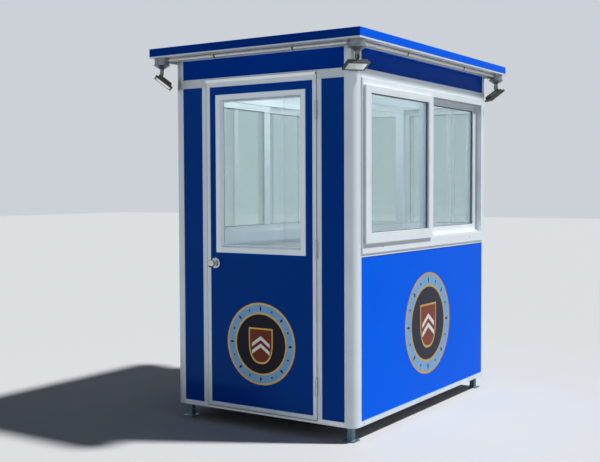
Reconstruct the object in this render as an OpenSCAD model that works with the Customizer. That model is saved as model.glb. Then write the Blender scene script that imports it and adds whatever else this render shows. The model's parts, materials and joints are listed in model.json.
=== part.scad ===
// Guard booth: an aluminium frame on four legs, filled with sandwich panels,
// sliding windows on three sides, a glazed hinged door and a flat overhanging roof.
// Origin on the ground below the middle of the booth, +X to the right of the
// door wall, +Y to the back, +Z up. Millimetres.

/* [Booth] */
// Outside width across the door wall
booth_w = 1335; // [1250:5:1700]
// Outside depth from the door wall to the rear wall
booth_d = 1930; // [1600:5:2500]
// Height of the walls from the underside of the base frame to the soffit
wall_h = 2217; // [1900:1:2600]
// Thickness of the walls
wall_t = 50; // [47:1:60]
// Face width of the corner posts
post_w = 72.5; // [66:0.5:90]
// Radius of the outer corner of the posts
post_r = 50; // [10:1:60]

/* [Legs and base] */
// Gap between the ground and the base frame
ground_gap = 90; // [60:1:200]
// Width of the square legs
leg_w = 38; // [25:1:60]
// Distance of a leg's centre from both outer wall faces
leg_inset = 66; // [45:1:90]
// Corner radius of the legs
leg_r = 5; // [2:0.5:10]
// Width of the square foot plates
foot_w = 80; // [70:1:120]
// Corner radius of the foot plates
foot_r = 8; // [2:0.5:10]
// Thickness of the foot plates
foot_t = 6; // [4:1:12]
// Radius of the anchor hole in a foot plate
anchor_r = 6; // [4:0.5:8]
// Height of the base rails and of the floor
base_rail_h = 30; // [24:1:60]

/* [Profiles] */
// Width of the lips along the edges of the metal profiles
lip_w = 6; // [4:0.5:7]
// Width of the groove behind a lip
groove_w = 2; // [1:0.5:2.5]
// Depth of the groove behind a lip
groove_d = 1.5; // [0.5:0.5:2.5]

/* [Wall frame] */
// Height of the lower panels below the windows
sill_h = 958; // [700:1:1100]
// Height of the rail below a window
sill_rail_h = 20; // [17:1:40]
// Height of the transom over the door and the windows
transom_h = 54; // [40:1:60]
// Height of the panels over the transoms
top_panel_h = 119; // [60:1:220]
// Height of the rail under the soffit
eave_rail_h = 21; // [17:1:40]
// Step from the frame faces back to the panel faces
panel_recess = 3; // [1:0.5:6]
// Thickness of the inner lining sheet
lining_t = 6; // [3:1:12]

/* [Doorway] */
// Clear width between the door jambs
door_w = 820; // [700:5:900]
// Face width of a door jamb
jamb_w = 32; // [24:1:50]
// Running gap around the leaf
door_gap = 5; // [5:0.5:7]
// How far the stops reach in front of the jamb
stop_lap = 12; // [8:1:20]
// Height of the threshold above the underside of the base frame
threshold_h = 14; // [8:1:18]
// Number of grooves along the threshold
tread_n = 3; // [0:1:4]
// Width of a groove in the threshold
tread_w = 5; // [2:0.5:6]
// Depth of a groove in the threshold
tread_d = 2; // [0.5:0.5:4]
// Depth of the rebate for the leaf in the transom
head_rebate = 39; // [20:1:46]

/* [Door leaf] */
// Thickness of the leaf
leaf_t = 38; // [32:1:40]
// Face width of the leaf's metal rim
leaf_rim = 25; // [18:1:60]
// Face height of the rim at the leaf's head
leaf_head_rim = 37; // [20:1:70]
// How far the drip stands out from the leaf's head
drip_out = 12; // [10:0.5:16]
// How far the drip reaches below the leaf's upper edge
drip_h = 9; // [6:0.5:19]
// How far the drip laps above the leaf's upper edge
drip_lap = 10; // [6:0.5:16]
// Height of the drip's upright edge
drip_edge = 4; // [2:0.5:5]
// Gap from the rim's outer edge to the leaf window, at the sides
door_window_side = 72; // [60:1:150]
// Height of the leaf window's lower edge above the leaf's lower edge
door_window_low = 971; // [700:1:1100]
// Gap from the leaf window to the leaf's upper edge
door_window_top = 87; // [70:1:300]
// Face width of the leaf window's frame
door_window_face = 32; // [20:1:50]
// Width of the sloped glazing beads of the leaf window
door_bead_w = 10; // [4:0.5:16]
// How far the leaf window's frame stands proud of the leaf
door_window_proud = 4; // [2:0.5:6]
// Width of the flange of the leaf window's frame on the panel
door_window_flange = 8; // [4:1:14]

/* [Door furniture] */
// Height of a hinge
hinge_h = 102; // [76:1:127]
// Radius of the hinge knuckles
hinge_r = 7; // [5:0.5:9]
// Radius of the hinge pin
hinge_pin_r = 3; // [2:0.25:4]
// Thickness of a hinge plate
hinge_plate_t = 2.2; // [1.5:0.1:2.3]
// Width of a hinge plate
hinge_plate_w = 30; // [20:1:36]
// Distance of the lowest hinge's middle from the leaf's lower edge
hinge_foot = 200; // [120:5:300]
// Distance of the highest hinge's middle from the leaf's upper edge
hinge_head = 212; // [120:1:300]
// Gap between the leaf's rim and the rose
rose_gap = 1; // [0.5:0.5:15]
// Height of the knob's axis above the leaf's lower edge
knob_h = 902; // [800:1:925]
// Radius of the knob
knob_r = 25; // [18:1:30]
// How far the knob stands out from the leaf
knob_out = 62; // [50:1:80]
// Radius of the rose behind the knob
rose_r = 35; // [28:1:35]
// Radius of the spindle between the knobs
spindle_r = 6; // [4:0.5:8]

/* [Windows] */
// Depth of a window frame
frame_depth = 68; // [64:1:90]
// How far a window frame stands proud of the wall
frame_proud = 8; // [2:1:15]
// Face width of a window frame at the sides
frame_jamb = 34; // [25:1:60]
// Face height of a window frame at the head
frame_head = 39; // [25:1:60]
// Face height of a window frame at the sill
frame_sill = 79; // [50:1:110]
// Depth of the outer track in the sill
track_step = 21; // [8:1:35]
// Frame face left visible beside the outer sash
sash_reveal = 14.5; // [8:0.5:22]
// How far the outer sash stands proud of the frame
sash_proud = 16; // [0:1:20]
// Thickness of the outer sash
outer_sash_t = 40; // [24:1:42]
// Thickness of the inner sash
inner_sash_t = 30; // [20:1:34]
// Face width of the sash stiles
sash_stile = 64; // [40:1:80]
// Face height of a sash's top rail
sash_top = 42; // [30:1:70]
// Face height of the outer sash's bottom rail
sash_bottom = 60; // [45:1:90]
// Overlap of the two sashes
sash_lap = 37; // [20:1:60]
// Width of the glazing beads round a pane
bead_w = 10; // [6:0.5:14]
// Width of the rib that a sash runs on
rib_w = 6; // [3:0.5:8]
// Height of the rib that a sash runs on
rib_h = 10; // [4:0.5:12]
// Length of the finger lip on the inner sash
pull_len = 140; // [80:5:240]
// Length of the lock's lever
lever_len = 34; // [24:1:50]
// Distance of the weep slots from the ends of a window frame
weep_inset = 244; // [60:1:300]
// Thickness of the panes
glass_t = 6; // [4:1:12]
// How deep a pane sits in its groove
glass_bite = 8; // [5:1:15]

/* [Roof] */
// Overhang beyond the side walls
overhang_x = 102; // [90:1:200]
// Overhang beyond the door wall and the rear wall
overhang_y = 122; // [90:1:250]
// Thickness of the soffit sheet
soffit_t = 10; // [4:1:20]
// Height of the fascia
fascia_h = 49; // [30:1:120]
// Width of the flange round the top of the roof
cap_flange = 30; // [15:1:60]
// Step from the flange down to the roof sheet
cap_step = 2; // [1:0.5:5]

/* [Lighting] */
// Radius of the conduit
conduit_r = 10.5; // [8:0.5:13]
// Distance of the conduit straps from the middle of a wall, as a share of the run
strap_share = 0.22; // [0.1:0.01:0.35]
// Radius of a junction box
box_r = 46; // [40:1:50]
// Height of a junction box
box_h = 38; // [30:1:50]
// Radius of a junction box cover
cover_r = 52; // [48:1:58]
// Height of a junction box cover
cover_h = 26; // [10:1:30]
// Depth of the lamp pivot below the soffit
pivot_drop = 97; // [92:1:140]
// Width of a lamp head
lamp_w = 134; // [100:1:150]
// Height of a lamp head
lamp_h = 128; // [100:1:132]
// Depth of a lamp head with its fins
lamp_d = 31; // [26:1:45]
// Distance of a lamp head's middle inwards from its pivot
lamp_in = 40; // [0:1:44]
// Outward tilt of the lamps at the front right and rear left corners
lamp_tilt = 12; // [0:1:40]
// Outward tilt of the lamps at the other two corners
lamp_tilt_more = 37; // [0:1:45]

/* [Hidden] */
$fn = 64;
// Overrun of a cutting solid past the face that it cuts
cut = 1;

// Levels above the ground
base_z = ground_gap;
floor_z = base_z + base_rail_h;
sill_z = floor_z + sill_h;
window_z0 = sill_z + sill_rail_h;
soffit_z = base_z + wall_h;
eave_z = soffit_z - eave_rail_h;
transom_top = eave_z - top_panel_h;
transom_z = transom_top - transom_h;
fascia_z = soffit_z + soffit_t;

// Walls in order, each a quarter turn on from the one before
WALLS = ["front", "right", "rear", "left"];
GLAZED = ["right", "rear", "left"];

// Door leaf in the frame of the front wall
leaf_x = door_w / 2 - door_gap;
threshold_z = base_z + threshold_h;
leaf_z0 = threshold_z + door_gap;
leaf_z1 = transom_z + head_rebate - door_gap;
leaf_open_x = leaf_x - leaf_rim;
leaf_open_z0 = leaf_z0 + leaf_rim;
leaf_open_z1 = leaf_z1 - leaf_head_rim;
stop_y = leaf_t + door_gap;
drip_clear = door_gap + 1;
drip_blade = 1.5;
door_window_x = leaf_x - door_window_side;
door_window_z0 = leaf_z0 + door_window_low;
door_window_z1 = leaf_z1 - door_window_top;
knob_x = -leaf_x + leaf_rim + rose_gap + rose_r;
knob_z = leaf_z0 + knob_h;

// Hinges: the pin stands in front of the gap between the leaf and the jamb
hinge_clear = 1;
hinge_x = leaf_x + door_gap / 2;
hinge_y = -hinge_r - hinge_clear;
knuckles = 5;
knuckle_gap = 0.25;
pin_clear = 0.1;
hinge_low = leaf_z0 + hinge_foot;
hinge_high = leaf_z1 - hinge_head;
hinge_levels = [hinge_low, (hinge_low + hinge_high) / 2, hinge_high];
tip_r = 5.5;
tip_h = 6;

// Knob
rose_t = 10;
rose_edge = 4;
rose_flat_r = 18;
latch_bore_r = 12;
knob_neck_r = 12;
knob_gap = 0.3;
knob_ball_h = 34;
knob_flare = 4;
key_r = 9;
key_d = 1.2;
keyway_w = 2;
keyway_h = 10;
keyway_d = 5;
ball_low = -60;
ball_high = 65;
ball_steps = 16;
dome_steps = 6;

// Window sashes in the frame of a wall
outer_sash_y = -frame_proud - sash_proud;
track_gap = 1;
sash_gap = 2;
inner_sash_y = frame_depth - frame_proud - inner_sash_t - track_gap;
track_z = window_z0 + frame_sill - track_step;
window_top = transom_z - frame_head;
sash_mid = (track_z + track_step + window_top) / 2;
sash_space = inner_sash_y - outer_sash_y - outer_sash_t;
hook_w = 12;
hook_t = 2;
hook_gap = 1;
hook_reach = sash_space / 2 + hook_t + hook_gap / 2;
pull_w = 5;
pull_out = 10;
pull_edge = 16;
lock_w = 22;
lock_h = 54;
lock_t = 5;
lock_r = 9;
lock_out = 11;
lever_w = 9;
lever_t = 4;
lever_lift = 1;
weep_w = 25;
weep_h = 6;
weep_d = 6;
weep_up = 28;

// Lamps
box_x = (booth_w + overhang_x) / 2;
box_y = (booth_d + overhang_y) / 2;
hub_wall = 2;
hub_len = 18;
hub_r = conduit_r + hub_wall;
hub_reach = box_r + hub_len;
strap_w = 16;
strap_t = 2;
strap_ear = 12;
soffit_clear = 0.3;
conduit_drop = conduit_r + max(hub_wall, strap_t) + soffit_clear;
cover_edge = 5;
cover_boss = 7;
neck_r = 11;
nut_r = 16;
nut_h = 7;
swivel_r = 12;
swivel_clear = 2;
tongue_t = 10;
ear_gap = 0.3;
ear_t = 5;
ear_in = tongue_t / 2 + ear_gap;
ear_out = ear_in + ear_t;
bridge_t = 5;
bolt_r = 4;
bolt_head_r = 7;
bolt_head_h = 4;
fin_n = 12;
fin_t = 3;
fin_slope = 9;
bezel_t = 13;
bezel_w = 12;
lamp_r = 8;
lens_t = 4;
lens_in = 1.5;
driver_w = 44;
driver_h = 60;
fin_top = -swivel_r - swivel_clear;
lamp_face = fin_top - lamp_d;

BLUE = [0.02, 0.16, 0.62];
SILVER = [0.62, 0.66, 0.69];
WHITE = [0.90, 0.92, 0.93];
GLASS = [0.45, 0.58, 0.56, 0.4];
STEEL = [0.70, 0.70, 0.68];
DARK = [0.20, 0.21, 0.22];

// Helpers

// Whether a wall runs along X
function across(side) = side == "front" || side == "rear";

// Distance of a wall's outer face from the middle of the booth
function face_dist(side) = (across(side) ? booth_d : booth_w) / 2;

// Half the clear width between the corner posts of a wall
function bay_half(side) = (across(side) ? booth_w : booth_d) / 2 - post_w;

// Quarter turns from the front wall to a wall
function quarter_turns(side) = [for (i = [0 : len(WALLS) - 1]) if (WALLS[i] == side) i][0];

// Frame of a wall: x to the right seen from outside, y inwards from the outer face
module on_wall(side) rotate(90 * quarter_turns(side)) translate([0, -face_dist(side), 0]) children();

// Box between two corners
module bar(x0, x1, y0, y1, z0, z1) translate([x0, y0, z0]) cube([x1 - x0, y1 - y0, z1 - z0]);

// Section in y and z, drawn out along x
module along_x(x0, x1) translate([x0, 0, 0]) rotate([90, 0, 90]) linear_extrude(x1 - x0) children();

// Upright rectangular ring between the planes y0 and y1, w wide inwards from its outer edges
module ring(x0, x1, y0, y1, z0, z1, w) difference() {
    bar(x0, x1, y0, y1, z0, z1);
    bar(x0 + w, x1 - w, y0 - cut, y1 + cut, z0 + w, z1 - w);
}

// Rectangle with rounded corners about the origin
module rounded(w, h, r) {
    square([w, h - 2 * r], center = true);
    square([w - 2 * r, h], center = true);
    for (sx = [-1, 1], sy = [-1, 1]) translate([sx * (w / 2 - r), sy * (h / 2 - r)]) circle(r);
}

// Upright strip with round ends about the origin
module strip(w, h) {
    square([w, h - w], center = true);
    for (s = [-1, 1]) translate([0, s * (h - w) / 2]) circle(w / 2);
}

// Hexagonal prism, r to its corners
module hex(r, h) linear_extrude(h) polygon([for (a = [0 : 60 : 300]) [r * cos(a), r * sin(a)]]);

// Section of a rail with a lip along each edge of its outer face
module rail_section(z0, z1) difference() {
    translate([0, z0]) square([wall_t, z1 - z0]);
    for (z = [z0 + lip_w, z1 - lip_w - groove_w]) translate([-cut, z]) square([groove_d + cut, groove_w]);
}

// Rail, panel and lining between the posts of a wall
module rail(side, z0, z1) on_wall(side) along_x(-bay_half(side), bay_half(side)) rail_section(z0, z1);

module panel(x0, x1, z0, z1) bar(x0, x1, panel_recess, wall_t - panel_recess - lining_t, z0, z1);

module lining(x0, x1, z0, z1) bar(x0, x1, wall_t - panel_recess - lining_t, wall_t - panel_recess, z0, z1);

// Copies at the four corners
module at_corners(x, y) for (sx = [-1, 1], sy = [-1, 1]) translate([sx * x, sy * y, 0]) children();

// Base

module leg() {
    difference() {
        linear_extrude(foot_t) rounded(foot_w, foot_w, foot_r);
        for (sx = [-1, 1]) translate([sx * (leg_w + foot_w) / 4, 0, -cut])
            cylinder(r = anchor_r, h = foot_t + 2 * cut);
    }
    translate([0, 0, foot_t]) linear_extrude(base_z - foot_t) rounded(leg_w, leg_w, leg_r);
}

module legs() color(SILVER) at_corners(booth_w / 2 - leg_inset, booth_d / 2 - leg_inset) leg();

module base_frame() color(SILVER) {
    for (side = GLAZED) rail(side, base_z, floor_z);
    difference() {
        rail("front", base_z, floor_z);
        on_wall("front") {
            bar(-door_w / 2, door_w / 2, -cut, stop_y, threshold_z, floor_z + cut);
            for (i = [1 : tread_n]) let (y = stop_y * i / (tread_n + 1) - tread_w / 2)
                bar(-door_w / 2, door_w / 2, y, y + tread_w, threshold_z - tread_d, threshold_z + cut);
        }
    }
}

module floor_deck() color(STEEL)
    bar(-booth_w / 2 + wall_t, booth_w / 2 - wall_t, -booth_d / 2 + wall_t, booth_d / 2 - wall_t,
        base_z, floor_z);

// Wall frame

// Section of a corner post, outer corner at the origin
module post_section() difference() {
    square(post_w);
    difference() {
        translate([-cut, -cut]) square(post_r + cut);
        translate([post_r, post_r]) circle(post_r);
    }
    translate([wall_t, wall_t]) square(post_w);
    let (edge = post_w - lip_w - groove_w) {
        translate([edge, -cut]) square([groove_w, groove_d + cut]);
        translate([-cut, edge]) square([groove_d + cut, groove_w]);
    }
}

module corner_post(sx, sy) color(SILVER)
    translate([sx * booth_w / 2, sy * booth_d / 2, base_z])
    mirror([sx > 0 ? 1 : 0, 0, 0]) mirror([0, sy > 0 ? 1 : 0, 0])
    linear_extrude(wall_h) post_section();

module front_transom() color(SILVER) difference() {
    rail("front", transom_z, transom_top);
    on_wall("front") bar(-door_w / 2, door_w / 2, -cut, stop_y, transom_z - cut, transom_z + head_rebate);
}

module window_transoms() color(SILVER) for (side = GLAZED) rail(side, transom_z, transom_top);

module window_sill_rails() color(SILVER) for (side = GLAZED) rail(side, sill_z, window_z0);

module eave_rails() color(SILVER) for (side = WALLS) rail(side, eave_z, soffit_z);

// Section of a jamb with its stop, the doorway on the inner side
module jamb_section() translate([door_w / 2, 0]) difference() {
    union() {
        square([jamb_w, wall_t]);
        translate([-stop_lap, stop_y]) square([stop_lap + jamb_w, wall_t - stop_y]);
    }
    for (x = [lip_w, jamb_w - lip_w - groove_w]) translate([x, -cut]) square([groove_w, groove_d + cut]);
}

module door_jamb(sx) color(SILVER) on_wall("front") mirror([sx > 0 ? 0 : 1, 0, 0])
    translate([0, 0, floor_z]) linear_extrude(transom_z - floor_z) jamb_section();

// Wall panels

module front_side_panel(sx) color(BLUE) on_wall("front") mirror([sx > 0 ? 0 : 1, 0, 0])
    panel(door_w / 2 + jamb_w, bay_half("front"), floor_z, transom_z);

module lower_panel(side) color(BLUE) on_wall(side)
    panel(-bay_half(side), bay_half(side), floor_z, sill_z);

module top_panels() color(BLUE) for (side = WALLS) on_wall(side)
    panel(-bay_half(side), bay_half(side), transom_top, eave_z);

module wall_lining() color(WHITE) {
    for (side = WALLS) on_wall(side) lining(-bay_half(side), bay_half(side), transom_top, eave_z);
    for (side = GLAZED) on_wall(side) lining(-bay_half(side), bay_half(side), floor_z, sill_z);
    for (turn = [0, 1]) on_wall("front") mirror([turn, 0, 0])
        lining(door_w / 2 + jamb_w, bay_half("front"), floor_z, transom_z);
}

// Sliding windows

// The frame, with the outer track cut into its sill and one jamb, weep slots and a rib for each sash
module window_frame(side) color(WHITE) on_wall(side) {
    half = bay_half(side);
    back = frame_depth - frame_proud;
    difference() {
        bar(-half, half, -frame_proud, back, window_z0, transom_z);
        bar(-half + frame_jamb, half - frame_jamb, -frame_proud - cut, back + cut,
            window_z0 + frame_sill, window_top);
        bar(-half + sash_reveal, half - frame_jamb, -frame_proud - cut,
            outer_sash_y + outer_sash_t + track_gap, track_z, window_top);
        for (sx = [-1, 1]) translate([sx * (half - weep_inset), -frame_proud, window_z0 + weep_up])
            bar(-weep_w / 2, weep_w / 2, -cut, weep_d, 0, weep_h);
    }
    rib(-half + sash_reveal, half - frame_jamb, outer_sash_y + outer_sash_t / 2, track_z);
    rib(-half + frame_jamb, half - frame_jamb, inner_sash_y + inner_sash_t / 2, window_z0 + frame_sill);
}

// Rib along a track, its middle at y
module rib(x0, x1, y, z) bar(x0, x1, y - rib_w / 2, y + rib_w / 2, z - cut, z + rib_h);

// Space of a pane, out to the bottom of its groove
module pane(x0, x1, y0, t, z0, z1, bottom)
    bar(x0 + sash_stile - glass_bite, x1 - sash_stile + glass_bite,
        y0 + (t - glass_t) / 2, y0 + (t + glass_t) / 2,
        z0 + bottom - glass_bite, z1 - sash_top + glass_bite);

module sash(x0, x1, y0, t, z0, z1, bottom) difference() {
    bar(x0, x1, y0, y0 + t, z0, z1);
    bar(x0 + sash_stile, x1 - sash_stile, y0 - cut, y0 + t + cut, z0 + bottom, z1 - sash_top);
    pane(x0, x1, y0, t, z0, z1, bottom);
    for (y = [y0 - cut, y0 + t - groove_d]) let (edge = bead_w + groove_w)
        ring(x0 + sash_stile - edge, x1 - sash_stile + edge, y, y + groove_d + cut,
             z0 + bottom - edge, z1 - sash_top + edge, groove_w);
    translate([0, y0 + t / 2, z0])
        bar(x0 - cut, x1 + cut, -rib_w / 2 - track_gap, rib_w / 2 + track_gap, -cut, rib_h + track_gap);
}

// Hooks on the meeting stiles that lock the two closed sashes
module interlock(z0, z1) translate([0, inner_sash_y - sash_space / 2, 0])
    for (turn = [0, 180]) rotate(turn) translate([-hook_w / 2, -sash_space / 2, 0]) {
        bar(0, hook_t, -cut, hook_reach, z0, z1);
        bar(0, hook_w - hook_t - hook_gap, hook_reach - hook_t, hook_reach, z0, z1);
    }

// Both sashes of a window, or both panes
module sash_pair(side, panes) on_wall(side) {
    half = bay_half(side);
    top = window_top - sash_gap;
    outer = [-half + sash_reveal, sash_lap / 2, outer_sash_y, outer_sash_t, track_z, top, sash_bottom];
    inner = [-sash_lap / 2, half - frame_jamb, inner_sash_y, inner_sash_t, track_z + track_step, top,
             sash_bottom - track_step];
    for (s = [outer, inner])
        if (panes) pane(s[0], s[1], s[2], s[3], s[4], s[5], s[6]);
        else sash(s[0], s[1], s[2], s[3], s[4], s[5], s[6]);
    if (!panes) {
        interlock(track_z + track_step + sash_gap, top - sash_gap);
        translate([half - frame_jamb - pull_edge - pull_w, inner_sash_y + inner_sash_t, sash_mid])
            bar(0, pull_w, -cut, pull_out, -pull_len / 2, pull_len / 2);
    }
}

// Lock on the meeting stile of an inner sash: a plate, a hub and a lever that hangs down
module window_lock(side) on_wall(side)
    translate([(sash_stile - sash_lap) / 2, inner_sash_y + inner_sash_t, sash_mid]) rotate([-90, 0, 0]) {
        linear_extrude(lock_t) strip(lock_w, lock_h);
        cylinder(r = lock_r, h = lock_out);
        translate([0, (lever_len - lever_w) / 2, lock_t + lever_lift])
            linear_extrude(lever_t) strip(lever_w, lever_len);
    }

module window_locks() color(WHITE) for (side = GLAZED) window_lock(side);

module window_sashes(side) color(WHITE) sash_pair(side, false);

module window_glass(side) color(GLASS) sash_pair(side, true);

// Roof

// Plate over the whole roof, or over all but a margin
module roof_plate(z0, z1, margin)
    let (x = booth_w / 2 + overhang_x - margin, y = booth_d / 2 + overhang_y - margin)
    bar(-x, x, -y, y, z0, z1);

module roof_panel() color(WHITE) roof_plate(soffit_z, fascia_z, 0);

module roof_cap() color(BLUE) let (top = fascia_z + fascia_h) difference() {
    roof_plate(fascia_z, top, 0);
    roof_plate(top - cap_step, top + cut, cap_flange);
}

// Lighting

// Tube along X under the soffit with two straps
module conduit_run(half) {
    rotate([0, 90, 0]) cylinder(r = conduit_r, h = 2 * half, center = true);
    for (sx = [-1, 1]) translate([sx * 2 * half * strap_share, 0, 0]) {
        rotate([0, 90, 0]) cylinder(r = conduit_r + strap_t, h = strap_w, center = true);
        bar(-strap_w / 2, strap_w / 2, -conduit_r - strap_t, conduit_r + strap_t, 0, conduit_drop);
        bar(-strap_w / 2, strap_w / 2, -conduit_r - strap_ear, conduit_r + strap_ear,
            conduit_drop - strap_t, conduit_drop);
    }
}

module conduit() color(SILVER) translate([0, 0, soffit_z - conduit_drop]) for (s = [-1, 1]) {
    translate([0, s * box_y, 0]) conduit_run(box_x - hub_reach);
    translate([s * box_x, 0, 0]) rotate(90) conduit_run(box_y - hub_reach);
}

// Frame of a corner lamp: z down from the soffit, y outwards on the diagonal
module at_lamp(sx, sy) translate([sx * box_x, sy * box_y, soffit_z]) rotate(atan2(-sx, sy)) children();

// Ear of the lamp swivel: a round end on the pivot and a shank up to the bridge
module swivel_ear() {
    rotate([0, 90, 0]) cylinder(r = swivel_r, h = ear_t);
    bar(0, ear_t, -swivel_r, swivel_r, 0, swivel_r + swivel_clear + bridge_t);
}

// Stem below a junction box: locknut, neck, bridge, two ears and the pivot bolt
module lamp_stem() {
    bridge_z = swivel_r + swivel_clear;
    translate([0, 0, bridge_z]) cylinder(r = neck_r, h = pivot_drop - bridge_z - box_h);
    translate([0, 0, pivot_drop - box_h - cover_h - nut_h]) hex(nut_r, nut_h + cut);
    bar(-ear_out, ear_out, -swivel_r, swivel_r, bridge_z, bridge_z + bridge_t);
    for (turn = [0, 180]) rotate(turn) {
        translate([ear_in, 0, 0]) swivel_ear();
        rotate([0, 90, 0]) translate([0, 0, ear_out - cut]) hex(bolt_head_r, bolt_head_h + cut);
    }
    rotate([0, 90, 0]) cylinder(r = bolt_r, h = 2 * ear_out, center = true);
}

module floodlight_mounts() color(STEEL) for (sx = [-1, 1], sy = [-1, 1]) {
    translate([sx * box_x, sy * box_y, soffit_z - conduit_drop]) {
        rotate([0, -90 * sx, 0]) cylinder(r = hub_r, h = hub_reach);
        rotate([90 * sy, 0, 0]) cylinder(r = hub_r, h = hub_reach);
    }
    at_lamp(sx, sy) {
        rotate_extrude() polygon([
            [0, 0], [box_r, 0], [box_r, -box_h], [cover_r, -box_h], [cover_r, -box_h - cover_edge],
            [neck_r + cover_boss, -box_h - cover_h], [0, -box_h - cover_h]]);
        translate([0, 0, -pivot_drop]) lamp_stem();
    }
}

// Frame of a lamp head: origin at its pivot, facing down
module at_heads() for (sx = [-1, 1], sy = [-1, 1])
    at_lamp(sx, sy) translate([0, 0, -pivot_drop])
    rotate([sx == sy ? lamp_tilt_more : lamp_tilt, 0, 0]) children();

module lens_plate(z0, z1) translate([0, -lamp_in, z0])
    linear_extrude(z1 - z0) rounded(lamp_w - 2 * bezel_w, lamp_h - 2 * bezel_w, lamp_r / 2);

// Cooling fins on the back of a lamp head, with sloped ends
module lamp_fins() let (y = lamp_h / 2 - bezel_w, z = lamp_face + bezel_t - cut)
    for (i = [0 : fin_n - 1]) let (x = (i / (fin_n - 1) - 0.5) * (lamp_w - 2 * bezel_w))
        along_x(x - fin_t / 2, x + fin_t / 2)
        polygon([[-y, z], [y, z], [y - fin_slope, fin_top], [fin_slope - y, fin_top]]);

module floodlight_heads() color(DARK) at_heads() {
    difference() {
        translate([0, -lamp_in, lamp_face]) linear_extrude(bezel_t) rounded(lamp_w, lamp_h, lamp_r);
        lens_plate(lamp_face - cut, lamp_face + lens_in + lens_t);
    }
    translate([0, -lamp_in, 0]) {
        lamp_fins();
        bar(-driver_w / 2, driver_w / 2, -driver_h / 2, driver_h / 2, lamp_face + bezel_t - cut, fin_top);
    }
    difference() {
        union() {
            bar(-tongue_t / 2, tongue_t / 2, -swivel_r, swivel_r, lamp_face + bezel_t - cut, 0);
            rotate([0, 90, 0]) cylinder(r = swivel_r, h = tongue_t, center = true);
        }
        rotate([0, 90, 0]) cylinder(r = bolt_r + pin_clear, h = tongue_t + 2 * cut, center = true);
    }
}

module floodlight_lenses() color(WHITE) at_heads()
    lens_plate(lamp_face + lens_in, lamp_face + lens_in + lens_t);

// Hinges

// Places of the hinges, z at the middle of each
module at_hinges() for (z = hinge_levels) on_wall("front") translate([hinge_x, hinge_y, z]) children();

// One knuckle of a hinge with its strap back to the plate
module knuckle(i, sx) {
    pitch = hinge_h / knuckles;
    z0 = -hinge_h / 2 + i * pitch + knuckle_gap;
    translate([0, 0, z0]) cylinder(r = hinge_r, h = pitch - 2 * knuckle_gap);
    mirror([sx > 0 ? 0 : 1, 0, 0])
        bar(door_gap / 2 - hinge_plate_t, door_gap / 2, 0, -hinge_y + cut, z0, z0 + pitch - 2 * knuckle_gap);
}

// Plate in the gap at the leaf's edge, against the jamb or against the leaf
module hinge_plate(sx) mirror([sx > 0 ? 0 : 1, 0, 0])
    bar(door_gap / 2 - hinge_plate_t, door_gap / 2, -hinge_y, -hinge_y + hinge_plate_w,
        -hinge_h / 2, hinge_h / 2);

module frame_hinge_leaves() color(STEEL) at_hinges() {
    for (i = [0 : 2 : knuckles - 1]) knuckle(i, 1);
    hinge_plate(1);
    translate([0, 0, -hinge_h / 2]) cylinder(r = hinge_pin_r, h = hinge_h);
    for (end = [0, 1]) mirror([0, 0, end]) translate([0, 0, hinge_h / 2 - knuckle_gap])
        rotate_extrude() polygon(concat([[0, 0]], dome(0, tip_r, 0, tip_h)));
}

module door_hinge_leaves() color(STEEL) at_hinges() {
    difference() {
        for (i = [1 : 2 : knuckles - 1]) knuckle(i, -1);
        translate([0, 0, -hinge_h / 2]) cylinder(r = hinge_pin_r + pin_clear, h = hinge_h);
    }
    hinge_plate(-1);
}

// Door leaf

module door_frame() color(SILVER) on_wall("front") difference() {
    bar(-leaf_x, leaf_x, 0, leaf_t, leaf_z0, leaf_z1);
    bar(-leaf_open_x, leaf_open_x, -cut, leaf_t + cut, leaf_open_z0, leaf_open_z1);
    for (y = [-cut, leaf_t - groove_d]) let (edge = lip_w + groove_w)
        ring(-leaf_open_x - edge, leaf_open_x + edge, y, y + groove_d + cut,
             leaf_open_z0 - edge, leaf_open_z1 + edge, groove_w);
}

// Sloped drip along the leaf's head, with a blade that laps over the running gap
module door_drip_cap() color(SILVER) on_wall("front") translate([0, 0, leaf_z1])
    along_x(-leaf_x, leaf_x)
    polygon([[0, -drip_h], [0, -door_gap / 2], [-drip_clear, drip_clear - door_gap / 2],
             [-drip_clear, drip_lap], [-drip_clear - drip_blade, drip_lap],
             [-drip_out, drip_edge - drip_h], [-drip_out, -drip_h]]);

// Hole in the leaf's panel, which the waist of the window frame fills
module door_window_hole(y0, y1)
    bar(-door_window_x + door_window_flange, door_window_x - door_window_flange, y0, y1,
        door_window_z0 + door_window_flange, door_window_z1 - door_window_flange);

module door_panel() color(BLUE) on_wall("front") difference() {
    bar(-leaf_open_x, leaf_open_x, panel_recess, leaf_t - panel_recess, leaf_open_z0, leaf_open_z1);
    door_window_hole(panel_recess - cut, leaf_t - panel_recess + cut);
    translate([knob_x, -cut, knob_z]) rotate([-90, 0, 0]) cylinder(r = latch_bore_r, h = leaf_t + 2 * cut);
}

module door_pane() let (edge = door_window_face + door_bead_w - glass_bite)
    bar(-door_window_x + edge, door_window_x - edge, (leaf_t - glass_t) / 2, (leaf_t + glass_t) / 2,
        door_window_z0 + edge, door_window_z1 - edge);

// Section of the leaf window's opening: sloped along the beads and narrowest at the pane
function sight(half) = let (
    side = [[half, -door_window_proud - cut], [half, -door_window_proud],
            [half - door_bead_w, (leaf_t - glass_t) / 2], [half - door_bead_w, (leaf_t + glass_t) / 2],
            [half, leaf_t + door_window_proud], [half, leaf_t + door_window_proud + cut]])
    concat(side, [for (i = [len(side) - 1 : -1 : 0]) [-side[i][0], side[i][1]]]);

module door_window_sight() let (h = door_window_z1 - door_window_z0) intersection() {
    translate([0, 0, door_window_z0]) linear_extrude(h) polygon(sight(door_window_x - door_window_face));
    translate([0, 0, door_window_z0 + h / 2]) along_x(-door_window_x, door_window_x)
        polygon([for (p = sight(h / 2 - door_window_face)) [p[1], p[0]]]);
}

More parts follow.
